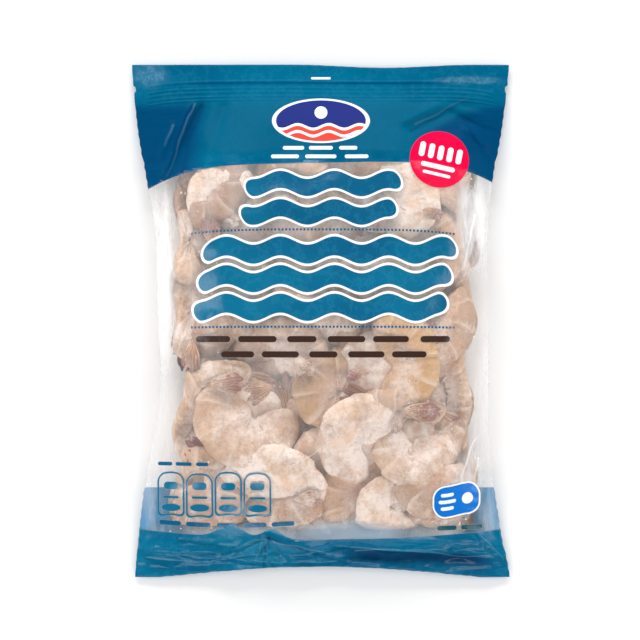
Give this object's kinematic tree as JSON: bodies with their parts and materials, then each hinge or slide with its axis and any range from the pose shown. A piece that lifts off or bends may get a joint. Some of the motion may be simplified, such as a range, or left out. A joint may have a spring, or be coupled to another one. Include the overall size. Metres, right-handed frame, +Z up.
{
  "type": "bag of frozen shrimp",
  "caption": "Sealed pillow pouch lying on its back: a clear window film drawn over frozen curled shrimp, a flat header with hem and zipper ridges, and a flat folded foot.",
  "frame": {"origin": "middle of the pouch's outline, on the surface that it lies on", "axes": "+X across the pouch to its right as read, +Y along it towards the zipper end, +Z up out of the window side"},
  "size_m": [0.241, 0.327, 0.0492],
  "materials": {
    "film": "clear glossy film over frosted beige shrimp, with opaque teal printed header and foot",
    "shrimp": "frozen shell with a white frost glaze"
  },
  "bodies": {
    "root": {"pouch": "film"}
  },
  "joints": []
}
